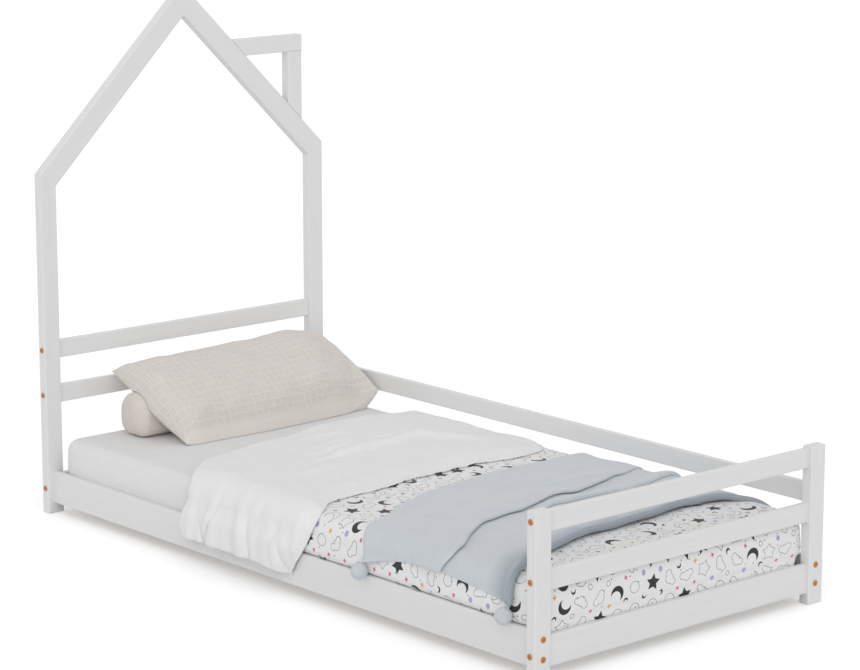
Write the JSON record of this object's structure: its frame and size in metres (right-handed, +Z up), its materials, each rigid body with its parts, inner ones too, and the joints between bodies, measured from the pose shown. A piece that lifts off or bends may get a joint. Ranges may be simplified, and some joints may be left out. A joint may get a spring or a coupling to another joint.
{
  "type": "house frame bed",
  "caption": "Floor-level single bed whose headboard is a house outline with a chimney; guard rail on one side, low footboard, slats, mattress and bedding.",
  "frame": {"origin": "on the floor, under the middle of the bed's outline", "axes": "+Z up, +Y from the foot to the head along the bed's length, +X across the bed to the side with the guard rail and the chimney"},
  "size_m": [0.984, 1.99, 1.427],
  "materials": {
    "painted_wood": "smooth white satin paint over pine, grain hidden",
    "slat_wood": "planed, unpainted pine",
    "dowel_wood": "plain beech",
    "bronze_steel": "bronze-coloured plated steel",
    "plain_steel": "zinc-plated steel",
    "white_steel": "white powder coat",
    "mattress_cover": "white ticking over foam",
    "sheet_cotton": "plain white cotton jersey",
    "bolster_linen": "plain pale beige linen",
    "pillow_linen": "beige linen with a woven grid",
    "duvet_cotton": "white percale, printed side shown tucked in",
    "throw_knit": "soft grey-blue fabric",
    "pom_yarn": "grey-blue yarn"
  },
  "bodies": {
    "frame": {"head_post_left": "painted_wood", "head_post_right": "painted_wood", "roof_rafter_left": "painted_wood", "roof_rafter_right": "painted_wood", "chimney_top_bar": "painted_wood", "chimney_side_bar": "painted_wood", "headboard_upper_rail": "painted_wood", "headboard_lower_rail": "painted_wood", "headboard_bottom_board": "painted_wood", "foot_post_left": "painted_wood", "foot_post_right": "painted_wood", "footboard_top_rail": "painted_wood", "footboard_middle_rail": "painted_wood", "footboard_bottom_board": "painted_wood", "side_rail_left": "painted_wood", "side_rail_right": "painted_wood", "guard_rail": "painted_wood", "slat_support_left": "slat_wood", "slat_support_right": "slat_wood", "slat_01": "slat_wood", "slat_02": "slat_wood", "slat_03": "slat_wood", "slat_04": "slat_wood", "slat_05": "slat_wood", "slat_06": "slat_wood", "slat_07": "slat_wood", "slat_08": "slat_wood", "slat_09": "slat_wood", "slat_10": "slat_wood", "slat_11": "slat_wood", "slat_12": "slat_wood", "slat_13": "slat_wood", "cross_rail_bolts": "bronze_steel", "side_rail_bolts": "bronze_steel", "barrel_nuts": "plain_steel", "dowels": "dowel_wood", "wood_screws": "plain_steel", "guard_brackets": "white_steel", "bracket_screws": "plain_steel"},
    "mattress": {"mattress": "mattress_cover", "fitted_sheet": "sheet_cotton"},
    "duvet": {"duvet": "duvet_cotton"},
    "throw": {"throw_blanket": "throw_knit", "pom_poms": "pom_yarn"},
    "bolster": {"bolster": "bolster_linen"},
    "pillow": {"pillow": "pillow_linen"}
  },
  "joints": [
    {"name": "mattress_lift", "type": "slide", "parent": "frame", "child": "mattress", "axis": [0, 0, 1], "range_m": [0, 0.35]},
    {"name": "duvet_lift", "type": "slide", "parent": "mattress", "child": "duvet", "axis": [0, 0, 1], "range_m": [0, 0.3]},
    {"name": "throw_lift", "type": "slide", "parent": "duvet", "child": "throw", "axis": [0, 0, 1], "range_m": [0, 0.3]},
    {"name": "bolster_lift", "type": "slide", "parent": "mattress", "child": "bolster", "axis": [0, 0, 1], "range_m": [0, 0.25]},
    {"name": "pillow_lift", "type": "slide", "parent": "bolster", "child": "pillow", "axis": [0, 0, 1], "range_m": [0, 0.25]}
  ]
}
